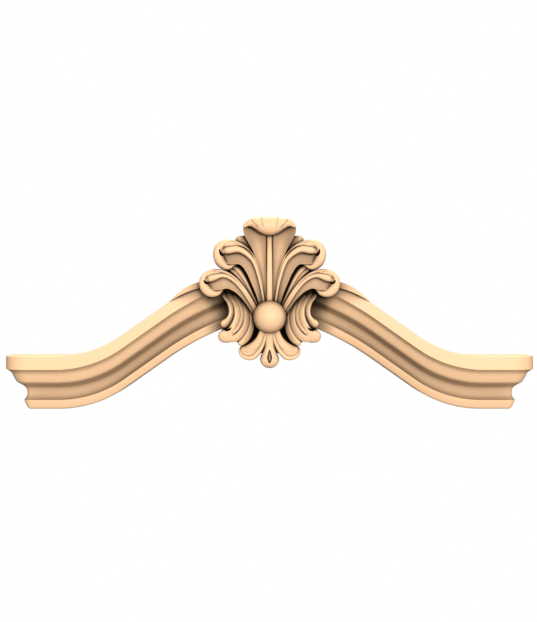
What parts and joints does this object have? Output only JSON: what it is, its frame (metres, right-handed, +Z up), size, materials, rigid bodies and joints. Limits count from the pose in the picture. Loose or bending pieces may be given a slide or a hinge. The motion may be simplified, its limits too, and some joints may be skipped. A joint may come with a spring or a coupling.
{
  "type": "carved cornice crest",
  "caption": "Swan-neck wooden cornice crest with returned ends and a carved acanthus cartouche with a round boss at its crown.",
  "frame": {"origin": "on the flat back of the moulding, at mid width and mid height of the moulding at its crown", "axes": "+X along the crest to its right end seen from the front, +Y out of the flat back into what it is fixed to, +Z up; the carved front faces -Y"},
  "size_m": [0.8, 0.1203, 0.2869],
  "materials": {
    "moulding_wood": "smooth pale bare wood",
    "carving_wood": "smooth pale bare wood, darker in the crevices"
  },
  "bodies": {
    "root": {"cornice_moulding": "moulding_wood", "acanthus_cartouche": "carving_wood"}
  },
  "joints": []
}
